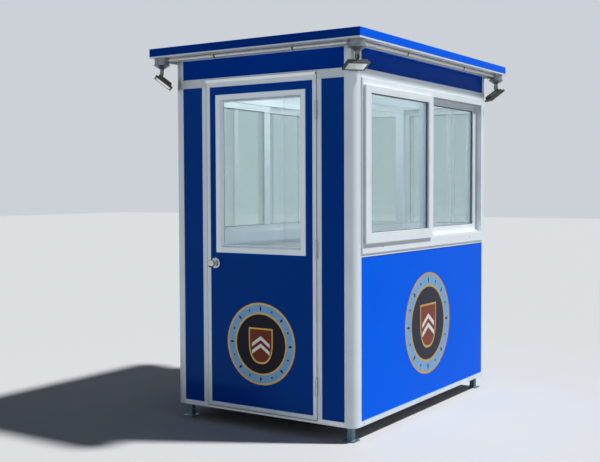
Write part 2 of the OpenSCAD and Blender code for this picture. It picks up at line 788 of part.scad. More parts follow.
module door_window_frame() color(SILVER) on_wall("front") difference() {
    union() {
        for (y = [-door_window_proud, leaf_t - panel_recess])
            bar(-door_window_x, door_window_x, y, y + door_window_proud + panel_recess,
                door_window_z0, door_window_z1);
        door_window_hole(panel_recess - cut, leaf_t - panel_recess + cut);
    }
    door_window_sight();
    door_pane();
    for (y = [-door_window_proud - cut, leaf_t + door_window_proud - groove_d],
         edge = [lip_w, door_window_face - lip_w - groove_w])
        ring(-door_window_x + edge, door_window_x - edge, y, y + groove_d + cut,
             door_window_z0 + edge, door_window_z1 - edge, groove_w);
}

module door_glass() color(GLASS) on_wall("front") door_pane();

// Knob

// Frame of one knob: z outwards from the leaf's face
module at_knobs() on_wall("front") translate([knob_x, 0, knob_z]) {
    rotate([90, 0, 0]) children();
    translate([0, leaf_t, 0]) rotate([-90, 0, 0]) children();
}

module door_knob_roses() color(STEEL) at_knobs() translate([0, 0, -panel_recess]) rotate_extrude()
    polygon(concat([[spindle_r + pin_clear, 0], [rose_r, 0]], dome(rose_flat_r, rose_r, rose_edge, rose_t),
                   [[spindle_r + pin_clear, rose_t]]));

// Quarter of an ellipse from the edge r1 at z0 in to r0 at z1
function dome(r0, r1, z0, z1) = [for (i = [0 : dome_steps]) let (a = 90 * i / dome_steps)
    [r0 + (r1 - r0) * cos(a), z0 + (z1 - z0) * sin(a)]];

// Half section of a knob's flattened ball
function ball_arc(r, z0, z1) = [for (i = [0 : ball_steps])
    let (a = ball_low + (ball_high - ball_low) * i / ball_steps)
    [r * cos(a), (z0 + z1) / 2 + (z1 - z0) / 2 * sin(a) / sin(ball_high)]];

// Knobs on both sides, the outer one with a key cylinder in its face
module door_knob() color(STEEL) {
    difference() {
        at_knobs() rotate_extrude() polygon(concat(
            [[0, rose_t - panel_recess + knob_gap], [knob_neck_r, rose_t - panel_recess + knob_gap],
             [knob_neck_r, knob_out - knob_ball_h - knob_flare]],
            ball_arc(knob_r, knob_out - knob_ball_h, knob_out), [[0, knob_out]]));
        on_wall("front") translate([knob_x, -knob_out, knob_z]) {
            rotate([90, 0, 0]) translate([0, 0, -key_d]) cylinder(r = key_r, h = key_d + cut);
            bar(-keyway_w / 2, keyway_w / 2, -cut, keyway_d, -keyway_h / 2, keyway_h / 2);
        }
    }
    on_wall("front") translate([knob_x, -rose_t, knob_z]) rotate([-90, 0, 0])
        cylinder(r = spindle_r, h = leaf_t + 2 * rose_t);
}

legs();
base_frame();
floor_deck();
corner_post(-1, -1);  // corner_post_front_left
corner_post(1, -1);  // corner_post_front_right
corner_post(-1, 1);  // corner_post_rear_left
corner_post(1, 1);  // corner_post_rear_right
front_transom();
window_transoms();
window_sill_rails();
eave_rails();
door_jamb(-1);  // door_jamb_left
door_jamb(1);  // door_jamb_right
door_drip_cap();
front_side_panel(-1);  // front_left_panel
front_side_panel(1);  // front_right_panel
lower_panel("right");  // right_lower_panel
lower_panel("rear");  // rear_lower_panel
lower_panel("left");  // left_lower_panel
top_panels();
wall_lining();
window_frame("right");  // right_window_frame
window_sashes("right");  // right_window_sashes
window_glass("right");  // right_window_glass
window_frame("rear");  // rear_window_frame
window_sashes("rear");  // rear_window_sashes
window_glass("rear");  // rear_window_glass
window_frame("left");  // left_window_frame
window_sashes("left");  // left_window_sashes
window_glass("left");  // left_window_glass
window_locks();
roof_panel();
roof_cap();
conduit();
floodlight_mounts();
floodlight_heads();
floodlight_lenses();
frame_hinge_leaves();
door_frame();
door_panel();
door_window_frame();
door_glass();
door_knob_roses();
door_hinge_leaves();
door_knob();
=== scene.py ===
"""Looks of the guard booth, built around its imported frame.

Metres. +X runs to the right along the door wall, +Y to the back, +Z up, with the origin on the ground.
"""
import json
import math

import bmesh
import bpy
from mathutils import Matrix, Vector


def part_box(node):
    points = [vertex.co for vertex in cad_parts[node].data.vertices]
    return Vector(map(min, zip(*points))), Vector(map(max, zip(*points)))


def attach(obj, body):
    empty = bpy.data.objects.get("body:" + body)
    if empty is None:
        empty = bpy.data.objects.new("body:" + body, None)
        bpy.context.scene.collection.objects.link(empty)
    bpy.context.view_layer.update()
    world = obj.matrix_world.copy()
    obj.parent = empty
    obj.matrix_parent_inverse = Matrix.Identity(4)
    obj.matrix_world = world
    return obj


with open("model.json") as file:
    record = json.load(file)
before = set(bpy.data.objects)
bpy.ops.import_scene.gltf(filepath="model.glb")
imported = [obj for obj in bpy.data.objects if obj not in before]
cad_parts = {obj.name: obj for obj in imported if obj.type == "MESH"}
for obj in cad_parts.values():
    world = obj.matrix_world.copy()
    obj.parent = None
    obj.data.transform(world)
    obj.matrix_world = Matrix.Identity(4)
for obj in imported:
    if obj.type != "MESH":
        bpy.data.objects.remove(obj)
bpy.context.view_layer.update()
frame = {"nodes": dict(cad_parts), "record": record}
MM = 0.001


def mm(*points):
    """Points given in millimetres, in metres."""
    return [tuple(v * MM for v in point) for point in points]


# Camera, fitted to the booth's edges in the photograph
CAMERA_AT = (3.378, -5.685, 1.476)
CAMERA_YAW = 33.18
CAMERA_PITCH = -2.535
CAMERA_ROLL = -0.206
CAMERA_LENS = 57.26
SENSOR_WIDTH = 36.0

# Light: a soft key from the right and a little behind, an even sky, and a glow in the room
KEY_AZIMUTH = 30.0
KEY_ELEVATION = 56.0
KEY_STRENGTH = 4.6
KEY_SOFTNESS = 4.0
KEY_DISTANCE = 10.0
SKY_FILL = 0.068
SKY_TINT = (0.84, 1.0, 1.22)
ROOM_FILL = 14.0
ROOM_FILL_SHARE = 0.8
ROOM_FILL_DROP = 30 * MM
BACKDROP = (0.60, 0.64, 0.68)
FLOOR_SEEN = (0.56, 0.57, 0.58)
FLOOR_BOUNCE = 0.122
FLOOR_SIZE = 80.0

# Edges and joins of the meshes
EDGE = 1.2 * MM
FINE_EDGE = 0.2 * MM
FILM_EDGE = 0.05 * MM
EDGE_ANGLE = 28.0
FLAT_ANGLE = 0.5
SAME_POINT = 0.01 * MM

# Outer faces of the walls, from the frame
SIDES = ("front", "right", "rear", "left")
GLAZED = SIDES[1:]
HALF_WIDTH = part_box("eave_rails")[1][0]
HALF_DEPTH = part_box("eave_rails")[1][1]

# Screws: the shares of a head, then the radius and height of each kind
SCREW_DOME = ((1.0, 0.0), (1.0, 0.35), (0.82, 0.85), (0.6, 1.0))
SOCKET_SHARE = 0.45
SOCKET_FLOOR = 0.35
LATCH_SCREW = (3.2 * MM, 0.9 * MM)
STRIKE_SCREW = (3.2 * MM, 0.6 * MM)
HINGE_SCREW = (3.4 * MM, 0.25 * MM)
RAIL_SCREW = (2.6 * MM, 1.6 * MM)
BEZEL_SCREW = (2.6 * MM, 1.4 * MM)
STRAP_SCREW = (3.4 * MM, 2.2 * MM)
CAP_SCREW = (3.6 * MM, 1.8 * MM)

# Seals: the wedge along a pane as shares of its width and thickness, and the bead along a panel
GLASS_BITE = 8 * MM
SEAL_W = 5 * MM
SEAL_T = 4 * MM
DOOR_TRIM_W = 6 * MM
DOOR_TRIM_T = 2.5 * MM
WEDGE = ((0.0, 0.0), (0.0, 1.0), (0.3, 1.0), (1.0, 0.25), (1.0, 0.0))
BEAD = mm((0, -0.5), (0, 2), (1, 1.6), (2.4, 0.6), (3, -0.5))

# Roundels: their places and radii, and shares of the radius
DOOR_ROUNDEL_Z = 528 * MM
DOOR_ROUNDEL_R = 253 * MM
RIGHT_ROUNDEL_Z = 592 * MM
RIGHT_ROUNDEL_R = 333 * MM
FILM_T = 0.25 * MM
DISC_SIDES = 96
RIM_IN = 0.955
RING_OUT = 0.76
RING_IN = 0.72
MARKS = 16
MARK_REACH = 0.857
MARK_LONG = 0.07
MARK_SHORT = 0.03
SHIELD_EDGE = 0.84
SHIELD_SIZE = 0.76
CHEVRON_RISES = (0.10, -0.08)
CHEVRON_W = 0.26
CHEVRON_T = 0.09

# Door seals: the bulb's section, and the width, near face and far face of each part of the cover strip
DOOR_GAP = 5 * MM
BULB = mm((-5, 0), (-5, -1), (-3.4, -3.2), (-1.6, -3.8), (0.4, -3.2), (1.6, -1), (1.6, 0))
BULB_END = 3 * MM
COVER_STRIPS = ((DOOR_GAP / 2, 1.5 * MM, 3.5 * MM), (1 * MM, 3 * MM, 9 * MM))
COVER_BITE = 0.2 * MM
SWEEP_INSET = 4 * MM
CARRIER_Y = 6 * MM
CARRIER_DROP = 2 * MM
CARRIER_BITE = 0.5 * MM
TUFTS = 60
TUFT_X = 5 * MM
TUFT_Y = 2 * MM
TUFT_FOOT = 4 * MM
TUFT_ROOT = 1.5 * MM

# Latch plate, strike plate and its hole, thumb turn, and hinges
LATCH_X = 28 * MM
LATCH_Y = 12 * MM
LATCH_T = 1.2 * MM
LATCH_BITE = 0.5 * MM
LATCH_NOSE = mm((8, 0), (8, 2.6), (6.5, 3.6))
LATCH_SCREW_X = 21 * MM
STRIKE_X = 35 * MM
STRIKE_Y = 14 * MM
STRIKE_T = 0.8 * MM
STRIKE_BITE = 0.3 * MM
HOLE_X = 14 * MM
HOLE_Y = 10 * MM
STRIKE_SCREW_X = 25 * MM
TURN_COLLAR = mm((9, -1), (9, 2), (7.5, 3))
TURN_GRIP = mm((-9, -2.2), (9, -2.2), (9, 2.2), (-9, 2.2))
TURN_STEPS = ((1.0, 2 * MM), (0.9, 9 * MM), (0.7, 11 * MM))
TURN_EDGE = 0.6 * MM
HINGE_PLATE_T = 2.2 * MM
HINGE_SCREW_AT = mm((-36, 24), (0, 14), (36, 24))

# Frame and legs; the weld's section is out from the leg and up from the foot plate
RAIL_SCREW_END = 30 * MM
RAIL_SCREW_PITCH = 330 * MM
FOOT_T = 6 * MM
LEG_W = 38 * MM
LEG_R = 5 * MM
WELD = mm((4, 0), (1.5, 1.2), (0.5, 4), (-1, 4.2), (-1, -0.3))
WELD_RIPPLE = 0.35 * MM
WELD_RIPPLES = 9

# Lamps and conduit straps
LAMP_TILT = 12.0
LAMP_TILT_MORE = 37.0
LENS_X = 52 * MM
LENS_Y = 49 * MM
LENS_T = 4 * MM
LENS_IN = 1.5 * MM
PRISMS = 12
PRISM_SHARE = 0.96
PRISM_H = 0.6 * MM
PRISM_BITE = 0.2 * MM
BEZEL_SCREW_OUT = 6 * MM
CONDUIT_R = 10.5 * MM
STRAP_T = 2 * MM
STRAP_SHARE = 0.22
STRAP_EAR = 7 * MM
BAND_X = 6 * MM
BAND_OUT = 0.8 * MM
BAND_IN = 0.4 * MM

# Roof sheet and floor plate; a seam's section is across it and up from the sheet
CAP_FLANGE = 30 * MM
CAP_STEP = 2 * MM
CAP_SCREW_PITCH = 200 * MM
SEAMS = 2
SEAM = mm((-23, -0.3), (-23, 0.5), (-15, 5), (15, 5), (23, 0.5), (23, -0.3))
SEAM_END = 1 * MM
WASHER = mm((6.5, -0.2), (6.5, 0.5), (5.5, 0.9))
WASHER_SEAT = 0.8 * MM
LUG_PITCH = 42 * MM
LUG = mm((-13, 0), (-7, -3), (7, -3), (13, 0), (7, 3), (-7, 3))
LUG_STEPS = ((1.0, -0.2 * MM), (0.6, 1.4 * MM))
LUG_EDGE = 0.1 * MM


def srgb(r, g, b):
    """Linear colour of an sRGB colour given from 0 to 255."""
    def linear(v):
        v /= 255
        return v / 12.92 if v <= 0.04045 else ((v + 0.055) / 1.055) ** 2.4
    return (linear(r), linear(g), linear(b))


def shade(color, factor):
    """A colour made lighter or darker by a factor."""
    return tuple(min(1.0, v * factor) for v in color)


# Node helpers

def node(tree, kind, inputs=None, **settings):
    """A new node; each input is linked where the value is a socket, and set otherwise."""
    made = tree.nodes.new(kind)
    for key, value in settings.items():
        setattr(made, key, value)
    for key, value in (inputs or {}).items():
        if isinstance(value, bpy.types.NodeSocket):
            tree.links.new(value, made.inputs[key])
        else:
            made.inputs[key].default_value = value
    return made


def principled(name, color, roughness, **sockets):
    """A new material; returns it with its tree and its shader."""
    material = bpy.data.materials.new(name)
    material.use_nodes = True
    shader = material.node_tree.nodes["Principled BSDF"]
    shader.inputs["Base Color"].default_value = (*color, 1.0)
    shader.inputs["Roughness"].default_value = roughness
    for key, value in sockets.items():
        shader.inputs[key.replace("_", " ")].default_value = value
    material.diffuse_color = (*color, 1.0)
    return material, material.node_tree, shader


def coords(tree, size, stretch=(1.0, 1.0, 1.0)):
    """Object coordinates in which one unit is the given size, drawn out along an axis by stretch."""
    place = node(tree, "ShaderNodeTexCoord").outputs["Object"]
    scale = tuple(1.0 / (size * s) for s in stretch)
    return node(tree, "ShaderNodeMapping", {"Vector": place, "Scale": scale}).outputs["Vector"]


def noise(tree, size, stretch=(1.0, 1.0, 1.0), detail=2.0):
    """Noise whose lumps are about as large as size."""
    inputs = {"Vector": coords(tree, size, stretch), "Scale": 1.0, "Detail": detail}
    return node(tree, "ShaderNodeTexNoise", inputs).outputs[0]


def ranged(tree, value, lo, hi, to_lo, to_hi):
    """A value moved from one range to another and kept inside it."""
    inputs = {"Value": value, "From Min": lo, "From Max": hi, "To Min": to_lo, "To Max": to_hi}
    return node(tree, "ShaderNodeMapRange", inputs).outputs["Result"]


def height_share(tree, z_full, z_none):
    """1 at the height z_full, falling to 0 at the height z_none."""
    place = node(tree, "ShaderNodeTexCoord").outputs["Object"]
    z = node(tree, "ShaderNodeSeparateXYZ", {"Vector": place}).outputs["Z"]
    return ranged(tree, z, z_full, z_none, 1.0, 0.0)


def product(tree, a, b):
    return node(tree, "ShaderNodeMath", {0: a, 1: b}, operation="MULTIPLY").outputs[0]


def total(tree, a, b):
    return node(tree, "ShaderNodeMath", {0: a, 1: b}, operation="ADD").outputs[0]


def mixed(tree, factor, a, b):
    """Colour between a and b, each a colour or a socket."""
    made = tree.nodes.new("ShaderNodeMix")
    made.data_type = "RGBA"
    sockets = {0: factor, 6: a, 7: b}
    for index, value in sockets.items():
        if isinstance(value, bpy.types.NodeSocket):
            tree.links.new(value, made.inputs[index])
        elif index == 0:
            made.inputs[index].default_value = value
        else:
            made.inputs[index].default_value = (*value, 1.0)
    return made.outputs[2]


def feed(tree, shader, socket, value):
    tree.links.new(value, shader.inputs[socket])


def bump(tree, shader, layers):
    """Bump from several (height, depth) layers, one over the other."""
    normal = None
    for height, depth in layers:
        inputs = {"Strength": 1.0, "Distance": depth, "Height": height}
        if normal is not None:
            inputs["Normal"] = normal
        normal = node(tree, "ShaderNodeBump", inputs).outputs["Normal"]
    feed(tree, shader, "Normal", normal)


# Materials

ALUMINIUM = srgb(236, 245, 252)
BLUE = srgb(0, 101, 252)
WHITE = srgb(238, 245, 250)
DUST = srgb(150, 146, 138)
# The window glass is tinted darker than the door glass: a real glass tint, and partly painted shade on the
# room seen through it.
WINDOW_TINT_AND_SHADE = (0.52, 0.76, 0.75)
DOOR_TINT = (0.74, 0.89, 0.87)
GLOSS_TINT = (0.06, 0.55, 1.0, 1.0)


def aluminium(name, stretch, metallic=0.54, color=ALUMINIUM):
    """Anodised extrusion with fine die lines along its length and a little grime near the ground."""
    material, tree, shader = principled(name, color, 0.42, Metallic=metallic)
    lines = noise(tree, 1.6 * MM, stretch, 3.0)
    clouds = noise(tree, 0.22, detail=4.0)
    tone = mixed(tree, lines, shade(color, 0.95), shade(color, 1.04))
    tone = mixed(tree, ranged(tree, clouds, 0.35, 0.75, 0.0, 0.16), tone, shade(color, 0.76))
    grime = product(tree, height_share(tree, 0.08, 0.40), ranged(tree, clouds, 0.3, 0.7, 0.02, 0.20))
    feed(tree, shader, "Base Color", mixed(tree, grime, tone, DUST))
    rough = total(tree, ranged(tree, lines, 0.3, 0.7, 0.36, 0.46), ranged(tree, clouds, 0.4, 0.8, 0.0, 0.08))
    feed(tree, shader, "Roughness", rough)
    bump(tree, shader, [(lines, 0.03 * MM)])
    return material


def blue_coat(name, weather=0.0, gloss=0.015):
    """Gloss coated sheet: slight waves, fine orange peel, dust towards the ground, and weather on its top."""
    material, tree, shader = principled(name, BLUE, 0.12, Specular_IOR_Level=gloss, Specular_Tint=GLOSS_TINT)
    clouds = noise(tree, 0.5, detail=3.0)
    specks = noise(tree, 7 * MM, detail=4.0)
    tone = mixed(tree, clouds, shade(BLUE, 0.92), shade(BLUE, 1.06))
    if weather:
        normal = node(tree, "ShaderNodeNewGeometry").outputs["Normal"]
        up = node(tree, "ShaderNodeSeparateXYZ", {"Vector": normal}).outputs["Z"]
        film = ranged(tree, noise(tree, 0.6, (1.0, 2.0, 1.0), 9.0), 0.35, 0.70, 0.5 * weather, weather)
        tone = mixed(tree, product(tree, ranged(tree, up, 0.7, 0.95, 0.0, 1.0), film), tone, shade(DUST, 0.5))
    dust = product(tree, height_share(tree, 0.10, 0.75), ranged(tree, specks, 0.42, 0.8, 0.0, 0.025))
    feed(tree, shader, "Base Color", mixed(tree, dust, tone, DUST))
    feed(tree, shader, "Roughness", ranged(tree, clouds, 0.3, 0.7, 0.08, 0.15))
    waves = noise(tree, 0.45, detail=1.0)
    peel = noise(tree, 5 * MM, detail=2.0)
    bump(tree, shader, [(waves, 1.2 * MM), (peel, 0.02 * MM)])
    return material


def white_plastic(name, color, roughness, grain, depth, metallic=0.0):
    """Satin white extrusion or coated sheet with faint clouds and a fine grain."""
    material, tree, shader = principled(name, color, roughness, Metallic=metallic)
    clouds = noise(tree, 0.18, detail=4.0)
    fine = noise(tree, grain, detail=3.0)
    tone = mixed(tree, ranged(tree, clouds, 0.35, 0.75, 0.0, 1.0), shade(color, 1.02), shade(color, 0.94))
    feed(tree, shader, "Base Color", tone)
    feed(tree, shader, "Roughness", ranged(tree, fine, 0.3, 0.7, roughness - 0.05, roughness + 0.07))
    bump(tree, shader, [(fine, depth)])
    return material


def galvanised(name, color, spangle, roughness):
    """Zinc coat with a spangle of flat crystals."""
    material, tree, shader = principled(name, color, roughness, Metallic=0.7)
    crystals = node(tree, "ShaderNodeTexVoronoi", {"Vector": coords(tree, spangle), "Scale": 1.0})
    grey = node(tree, "ShaderNodeRGBToBW", {"Color": crystals.outputs["Color"]}).outputs["Val"]
    fine = noise(tree, 0.03, detail=5.0)
    tone = mixed(tree, grey, shade(color, 0.90), shade(color, 1.06))
    tone = mixed(tree, ranged(tree, fine, 0.45, 0.8, 0.0, 0.22), tone, shade(color, 0.62))
    feed(tree, shader, "Base Color", tone)
    feed(tree, shader, "Roughness", ranged(tree, grey, 0.0, 1.0, roughness - 0.08, roughness + 0.10))
    bump(tree, shader, [(fine, 0.08 * MM)])
    return material


def powder_coat(name, color, roughness, metallic=0.0):
    """Powder coated metal with a fine pebbled skin and paler wear."""
    material, tree, shader = principled(name, color, roughness, Metallic=metallic)
    pebbles = noise(tree, 1.1 * MM, detail=2.0)
    clouds = noise(tree, 0.05, detail=4.0)
    tone = mixed(tree, ranged(tree, clouds, 0.4, 0.8, 0.0, 1.0), shade(color, 0.92), shade(color, 1.28))
    feed(tree, shader, "Base Color", tone)
    feed(tree, shader, "Roughness", ranged(tree, pebbles, 0.3, 0.7, roughness - 0.08, roughness + 0.10))
    bump(tree, shader, [(pebbles, 0.06 * MM)])
    return material


def satin_steel(name, color, roughness):
    """Stainless steel with fine turning marks, satin or polished."""
    material, tree, shader = principled(name, color, roughness, Metallic=1.0)
    marks = noise(tree, 0.5 * MM, (6.0, 1.0, 6.0), 2.0)
    clouds = noise(tree, 0.02, detail=3.0)
    feed(tree, shader, "Base Color", mixed(tree, clouds, shade(color, 0.94), shade(color, 1.04)))
    feed(tree, shader, "Roughness", ranged(tree, marks, 0.3, 0.7, roughness - 0.04, roughness + 0.06))
    bump(tree, shader, [(marks, 0.003 * MM)])
    return material


def tread_plate(name):
    """Aluminium floor plate with scuffs where people stand."""
    color = srgb(158, 160, 161)
    material, tree, shader = principled(name, color, 0.45, Metallic=0.6)
    scuffs = noise(tree, 0.06, (2.0, 1.0, 1.0), 5.0)
    feed(tree, shader, "Base Color", mixed(tree, scuffs, shade(color, 0.70), shade(color, 1.12)))
    feed(tree, shader, "Roughness", ranged(tree, scuffs, 0.3, 0.7, 0.35, 0.60))
    bump(tree, shader, [(scuffs, 0.1 * MM)])
    return material


def clear_glass(name, tint):
    """Float glass: clear with a faint green body, slightly wavy, with a thin film of dust."""
    material, tree, shader = principled(name, tint, 0.0, Transmission_Weight=1.0, IOR=1.45, Alpha=0.5)
    waves = noise(tree, 0.30, detail=1.0)
    film = noise(tree, 0.12, detail=4.0)
    feed(tree, shader, "Base Color", mixed(tree, film, tint, shade(tint, 0.97)))
    feed(tree, shader, "Roughness", ranged(tree, film, 0.35, 0.85, 0.0, 0.035))
    bump(tree, shader, [(waves, 0.03 * MM)])
    return material


def rubber(name, color):
    """Extruded gasket."""
    material, tree, shader = principled(name, color, 0.65)
    fine = noise(tree, 2 * MM, detail=3.0)
    feed(tree, shader, "Base Color", mixed(tree, fine, shade(color, 0.75), shade(color, 1.35)))
    feed(tree, shader, "Roughness", ranged(tree, fine, 0.3, 0.7, 0.55, 0.75))
    bump(tree, shader, [(fine, 0.05 * MM)])
    return material


def lamp_lens(name):
    """Pale diffuser with a fine grain."""
    color = srgb(252, 248, 240)
    material, tree, shader = principled(name, color, 0.3, Metallic=1.0)
    grain = noise(tree, 3 * MM, detail=1.0)
    feed(tree, shader, "Base Color", mixed(tree, grain, shade(color, 0.95), shade(color, 1.02)))
    feed(tree, shader, "Roughness", ranged(tree, grain, 0.3, 0.7, 0.28, 0.40))
    bump(tree, shader, [(grain, 0.03 * MM)])
    return material


def printed(name, color, roughness, metallic=0.0):
    """Printed film with faint clouds and a fine grain; some inks have a metal ground."""
    material, tree, shader = principled(name, color, roughness, Specular_IOR_Level=0.2, Metallic=metallic)
    clouds = noise(tree, 0.04, detail=3.0)
    grain = noise(tree, 0.8 * MM, detail=2.0)
    feed(tree, shader, "Base Color", mixed(tree, clouds, shade(color, 0.88), shade(color, 1.10)))
    feed(tree, shader, "Roughness", ranged(tree, grain, 0.3, 0.7, roughness - 0.06, roughness + 0.08))
    bump(tree, shader, [(grain, 0.01 * MM)])
    return material


# Draw of the die lines: along z, along x and y, or none
UPRIGHT = (1.0, 1.0, 400.0)
LEVEL = (400.0, 400.0, 1.0)
PLAIN = (3.0, 3.0, 3.0)

ALUMINIUM_UPRIGHT = aluminium("aluminium_upright", UPRIGHT)
ALUMINIUM_LEVEL = aluminium("aluminium_level", LEVEL, 0.44)
ALUMINIUM_BRIGHT = aluminium("aluminium_bright", PLAIN, 0.75)
RUBBER = rubber("gasket_rubber", srgb(26, 27, 29))
PALE_SEAL = rubber("pale_seal", srgb(204, 211, 216))
GREY_SEAL = rubber("grey_seal", srgb(104, 110, 116))
BLUE_SEAL = rubber("blue_seal", shade(BLUE, 0.95))
# Dark coat of the strap bands: partly a coated band, partly painted shadow of the conduit straps.
STRAP_COAT_AND_SHADOW = powder_coat("strap_coat_and_shadow", srgb(66, 66, 64), 0.5)
SCREW_STEEL = satin_steel("screw_steel", srgb(176, 178, 178), 0.35)
ROUNDEL_GOLD = printed("roundel_gold", srgb(214, 172, 92), 0.42, 0.8)
ROUNDEL_DARK = printed("roundel_dark", srgb(12, 18, 44), 0.35)
ROUNDEL_PALE = printed("roundel_pale", srgb(128, 178, 222), 0.42, 0.6)
ROUNDEL_RUSSET = printed("roundel_russet", srgb(132, 62, 46), 0.42, 0.4)
ROUNDEL_WHITE = printed("roundel_white", srgb(232, 234, 232), 0.42, 0.6)
# The coat of the door wall has more gloss than the others
FRONT_BLUE = blue_coat("front_blue", gloss=0.2)

SLOT_MATERIALS = {
    "frame_aluminium": ALUMINIUM_LEVEL,
    "leg_steel": galvanised("leg_steel", srgb(112, 140, 154), 12 * MM, 0.5),
    "floor_plate": tread_plate("floor_plate"),
    "panel_blue": blue_coat("panel_blue"),
    "lining_white": white_plastic("lining_white", srgb(228, 231, 230), 0.42, 4 * MM, 0.12 * MM),
    "soffit_white": white_plastic("soffit_white", srgb(232, 237, 240), 0.45, 3 * MM, 0.06 * MM, 0.5),
    "roof_blue": blue_coat("roof_blue", 0.26),
    "window_vinyl": white_plastic("window_vinyl", WHITE, 0.42, 1.5 * MM, 0.015 * MM, 0.3),
    # Deeper tint than the door glass: partly painted shade on the room behind the windows.
    "window_glass": clear_glass("window_glass", WINDOW_TINT_AND_SHADE),
    "conduit_grey": galvanised("conduit_grey", srgb(226, 227, 224), 9 * MM, 0.40),
    "box_grey": powder_coat("box_grey", srgb(150, 156, 160), 0.40, 0.5),
    "lamp_housing": powder_coat("lamp_housing", srgb(88, 88, 86), 0.5, 0.3),
    "lamp_lens": lamp_lens("lamp_lens"),
    "door_aluminium": aluminium("door_aluminium", PLAIN, 0.62),
    "door_blue": FRONT_BLUE,
    "door_glass": clear_glass("door_glass", DOOR_TINT),
    "hardware_steel": satin_steel("hardware_steel", srgb(184, 188, 190), 0.26),
    "knob_steel": satin_steel("knob_steel", srgb(206, 206, 202), 0.12),
}
NODE_MATERIALS = {
    "base_frame": aluminium("aluminium_base", LEVEL, 0.75),
    "corner_post_front_left": ALUMINIUM_UPRIGHT,
    "corner_post_front_right": ALUMINIUM_UPRIGHT,
    "corner_post_rear_left": ALUMINIUM_UPRIGHT,
    "corner_post_rear_right": ALUMINIUM_UPRIGHT,
    "door_jamb_left": ALUMINIUM_UPRIGHT,
    "door_jamb_right": ALUMINIUM_UPRIGHT,
    "front_left_panel": FRONT_BLUE,
    "front_right_panel": FRONT_BLUE,
    "door_window_frame": ALUMINIUM_BRIGHT,
    # The drip cap is aluminium, here a paler, fully metal copy: a painted highlight along its bright edge.
    "door_drip_cap": aluminium("drip_metal_highlight", LEVEL, 1.0, srgb(252, 253, 252)),
}


# Solids of the frame: softened edges and materials

def soften(obj):
    """Joins split vertices, clears flat triangulation, rounds hard edges and evens the normals."""
    obj.data.shade_smooth()
    weld = obj.modifiers.new("weld", "WELD")
    weld.merge_threshold = SAME_POINT
    flat = obj.modifiers.new("flat", "DECIMATE")
    flat.decimate_type = "DISSOLVE"
    flat.angle_limit = math.radians(FLAT_ANGLE)
    bevel = obj.modifiers.new("edge", "BEVEL")
    bevel.width = EDGE
    bevel.segments = 2
    bevel.limit_method = "ANGLE"
    bevel.angle_limit = math.radians(EDGE_ANGLE)
    bevel.use_clamp_overlap = True
    normals = obj.modifiers.new("normals", "WEIGHTED_NORMAL")
    normals.keep_sharp = False


def dress_nodes():
    slots = {row["node"]: row["material_slot"] for row in frame["record"]["subparts"]}
    for name, obj in frame["nodes"].items():
        obj.data.materials.clear()
        obj.data.materials.append(NODE_MATERIALS.get(name, SLOT_MATERIALS[slots[name]]))
        soften(obj)


# Mesh helpers

def wall_matrix(side):
    """Frame of a wall: x to the right seen from outside, y inwards from its outer face, z up."""
    reach = HALF_DEPTH if side in ("front", "rear") else HALF_WIDTH
    turn = Matrix.Rotation(math.radians(90 * SIDES.index(side)), 4, "Z")
    return turn @ Matrix.Translation((0.0, -reach, 0.0))


FRONT = wall_matrix("front")
OUTWARDS = Matrix.Rotation(math.radians(90), 4, "X")
INWARDS = Matrix.Rotation(math.radians(-90), 4, "X")
DOWNWARDS = Matrix.Rotation(math.pi, 4, "X")


def box_in(matrix, lo, hi):
    """Box of the row frame, seen in the frame of a wall."""
    a, b = matrix.inverted() @ Vector(lo), matrix.inverted() @ Vector(hi)
    return Vector(map(min, a, b)), Vector(map(max, a, b))


def solids(name):
    """Boxes of the separate solids of a node, in the row frame."""
    mesh = bmesh.new()
    mesh.from_mesh(frame["nodes"][name].data)
    bmesh.ops.remove_doubles(mesh, verts=mesh.verts, dist=SAME_POINT)
    left, boxes = set(mesh.verts), []
    while left:
        group, front = set(), [left.pop()]
        while front:
            vert = front.pop()
            group.add(vert)
            for edge in vert.link_edges:
                other = edge.other_vert(vert)
                if other in left:
                    left.discard(other)
                    front.append(other)
        points = [v.co.copy() for v in group]
        boxes.append((Vector(map(min, *points)), Vector(map(max, *points))))
    mesh.free()
    return sorted(boxes, key=lambda b: tuple(round(v, 4) for v in b[0]))


def spread(lo, hi, pitch):
    """Even places between two ends, about a pitch apart."""
    count = max(2, round((hi - lo) / pitch) + 1)
    return [lo + (hi - lo) * i / (count - 1) for i in range(count)]


def turns(count):
    """Angles of even places round a circle."""
    return [2 * math.pi * i / count for i in range(count)]


def add_box(mesh, matrix, lo, hi):
    corners = [mesh.verts.new(matrix @ Vector((x, y, z)))
               for z in (lo[2], hi[2]) for y in (lo[1], hi[1]) for x in (lo[0], hi[0])]
    for face in ((0, 2, 3, 1), (4, 5, 7, 6), (0, 1, 5, 4), (2, 6, 7, 3), (0, 4, 6, 2), (1, 3, 7, 5)):
        mesh.faces.new([corners[i] for i in face])


def add_rings(mesh, rings, closed_ends):
    """Skin over a row of closed rings of points; the ends are capped where asked."""
    rows = [[mesh.verts.new(p) for p in ring] for ring in rings]
    for a, b in zip(rows, rows[1:]):
        for i in range(len(a)):
            j = (i + 1) % len(a)
            mesh.faces.new((a[i], a[j], b[j], b[i]))
    if closed_ends:
        mesh.faces.new(rows[0][::-1])
        mesh.faces.new(rows[-1])


def add_lathe(mesh, matrix, profile, sides):
    """Solid of revolution about z from (radius, z) points, from its foot to its top."""
    add_rings(mesh, [[matrix @ Vector((r * math.cos(a), r * math.sin(a), z)) for a in turns(sides)]
                     for r, z in profile], True)


def add_loop(mesh, matrix, lo, hi, section):
    """Mitred bar round a rectangle in x and z; the section holds (inset, y) points."""
    corners = ((lo[0], lo[2], 1, 1), (hi[0], lo[2], -1, 1), (hi[0], hi[2], -1, -1), (lo[0], hi[2], 1, -1))
    rings = [[matrix @ Vector((x + sx * d, y, z + sz * d)) for d, y in section] for x, z, sx, sz in corners]
    add_rings(mesh, rings + rings[:1], False)


